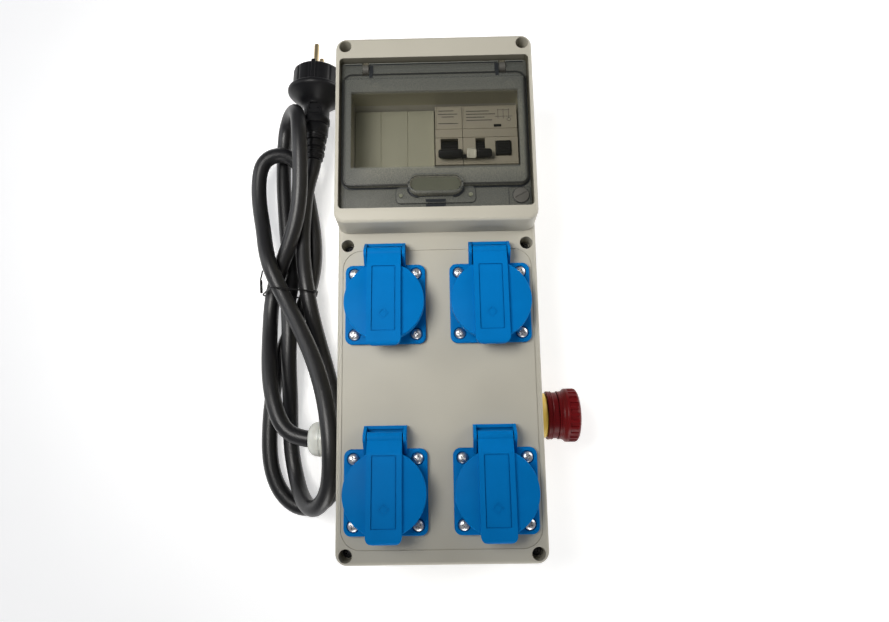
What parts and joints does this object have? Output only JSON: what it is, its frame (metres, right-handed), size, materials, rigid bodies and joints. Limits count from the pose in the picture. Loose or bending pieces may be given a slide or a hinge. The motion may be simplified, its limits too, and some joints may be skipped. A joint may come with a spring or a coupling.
{
  "type": "portable power distribution box",
  "caption": "Portable plastic power box with smoked window over breakers, blue hinged-lid sockets, side emergency stop and rubber lead with plug.",
  "frame": {"origin": "centre of the enclosure's flat rear face, on which it lies", "axes": "+X across the box towards the emergency stop, +Y along the box towards the window end, +Z out of the front"},
  "size_m": [0.23, 0.3639, 0.0956],
  "materials": {
    "grey_plastic": "fine satin grain",
    "seal_foam": "matte",
    "plated_steel": "bright plated",
    "smoked_window": "smoked, clear in the middle and frosted round it",
    "blank_plastic": "satin",
    "device_plastic": "satin",
    "black_plastic": "satin",
    "white_plastic": "satin",
    "blue_plastic": "satin",
    "yellow_plastic": "satin",
    "red_plastic": "gloss",
    "gland_nylon": "milky nylon",
    "black_rubber": "satin",
    "brass_pin": "bright"
  },
  "bodies": {
    "enclosure": {"rear_case": "grey_plastic", "front_cover": "grey_plastic", "case_gasket": "seal_foam", "cover_screw_1": "plated_steel", "cover_screw_2": "plated_steel", "cover_screw_3": "plated_steel", "cover_screw_4": "plated_steel", "cover_screw_5": "plated_steel", "cover_screw_6": "plated_steel", "socket_screw_1a": "plated_steel", "socket_screw_1b": "plated_steel", "socket_screw_1c": "plated_steel", "socket_screw_1d": "plated_steel", "socket_screw_2a": "plated_steel", "socket_screw_2b": "plated_steel", "socket_screw_2c": "plated_steel", "socket_screw_2d": "plated_steel", "socket_screw_3a": "plated_steel", "socket_screw_3b": "plated_steel", "socket_screw_3c": "plated_steel", "socket_screw_3d": "plated_steel", "socket_screw_4a": "plated_steel", "socket_screw_4b": "plated_steel", "socket_screw_4c": "plated_steel", "socket_screw_4d": "plated_steel", "socket_lid_pin_1": "plated_steel", "socket_lid_pin_2": "plated_steel", "socket_lid_pin_3": "plated_steel", "socket_lid_pin_4": "plated_steel", "din_rail": "plated_steel", "blanking_strip": "blank_plastic", "mcb_body": "device_plastic", "rcd_body": "device_plastic", "estop_nut": "black_plastic", "estop_contact_block": "black_plastic", "cord_tie": "black_plastic", "socket_body_1": "blue_plastic", "socket_body_2": "blue_plastic", "socket_body_3": "blue_plastic", "socket_body_4": "blue_plastic", "estop_ring": "yellow_plastic", "estop_body": "red_plastic", "gland_body": "gland_nylon", "gland_cap": "gland_nylon", "gland_locknut": "gland_nylon", "supply_cord": "black_rubber", "plug_body": "black_rubber", "plug_pin_1": "brass_pin", "plug_pin_2": "brass_pin"},
    "window": {"window_cover": "smoked_window"},
    "mcb_lever": {"mcb_toggle": "black_plastic"},
    "rcd_lever": {"rcd_toggle": "black_plastic"},
    "lever_link": {"toggle_link": "white_plastic"},
    "test_key": {"test_button": "black_plastic"},
    "stop_stem": {"estop_stem": "black_plastic"},
    "stop_head": {"estop_head": "red_plastic"},
    "lid_1": {"socket_lid_1": "blue_plastic"},
    "lid_2": {"socket_lid_2": "blue_plastic"},
    "lid_3": {"socket_lid_3": "blue_plastic"},
    "lid_4": {"socket_lid_4": "blue_plastic"}
  },
  "joints": [
    {"name": "window_hinge", "type": "hinge", "parent": "enclosure", "child": "window", "pos_m": [0, 0.144, 0.0875], "axis": [-1, 0, 0], "range_deg": [0, 100]},
    {"name": "mcb_switch", "type": "hinge", "parent": "enclosure", "child": "mcb_lever", "pos_m": [0.01, 0.0945, 0.0693], "axis": [-1, 0, 0], "range_deg": [0, 70]},
    {"name": "rcd_switch", "type": "hinge", "parent": "enclosure", "child": "rcd_lever", "pos_m": [0.029, 0.0945, 0.0693], "axis": [-1, 0, 0], "range_deg": [0, 70]},
    {"name": "link_swing", "type": "hinge", "parent": "enclosure", "child": "lever_link", "pos_m": [0.023, 0.0945, 0.0693], "axis": [-1, 0, 0], "range_deg": [0, 70]},
    {"name": "test_press", "type": "slide", "parent": "enclosure", "child": "test_key", "axis": [0, 0, -1], "range_m": [0, 0.0015], "stiffness_N_per_m": 600, "springref_m": -0.001},
    {"name": "stop_press", "type": "slide", "parent": "enclosure", "child": "stop_stem", "axis": [-1, 0, 0], "range_m": [0, 0.003], "stiffness_N_per_m": 1500, "springref_m": -0.002},
    {"name": "stop_twist", "type": "hinge", "parent": "stop_stem", "child": "stop_head", "pos_m": [0.08, -0.0772, 0.034], "axis": [1, 0, 0], "range_deg": [0, 35], "stiffness_Nm_per_rad": 0.05, "springref_deg": -20.05},
    {"name": "lid_1_hinge", "type": "hinge", "parent": "enclosure", "child": "lid_1", "pos_m": [-0.0323, 0.0228, 0.0844], "axis": [-1, 0, 0], "range_deg": [0, 110], "stiffness_Nm_per_rad": 0.012, "springref_deg": -51.57},
    {"name": "lid_2_hinge", "type": "hinge", "parent": "enclosure", "child": "lid_2", "pos_m": [0.0323, 0.0228, 0.0844], "axis": [-1, 0, 0], "range_deg": [0, 110], "stiffness_Nm_per_rad": 0.012, "springref_deg": -51.57},
    {"name": "lid_3_hinge", "type": "hinge", "parent": "enclosure", "child": "lid_3", "pos_m": [-0.0323, -0.0894, 0.0844], "axis": [-1, 0, 0], "range_deg": [0, 110], "stiffness_Nm_per_rad": 0.012, "springref_deg": -51.57},
    {"name": "lid_4_hinge", "type": "hinge", "parent": "enclosure", "child": "lid_4", "pos_m": [0.0323, -0.0894, 0.0844], "axis": [-1, 0, 0], "range_deg": [0, 110], "stiffness_Nm_per_rad": 0.012, "springref_deg": -51.57}
  ],
  "couplings": [
    {"joint": "rcd_switch", "follows": "mcb_switch", "ratio": 1},
    {"joint": "link_swing", "follows": "mcb_switch", "ratio": 1}
  ]
}
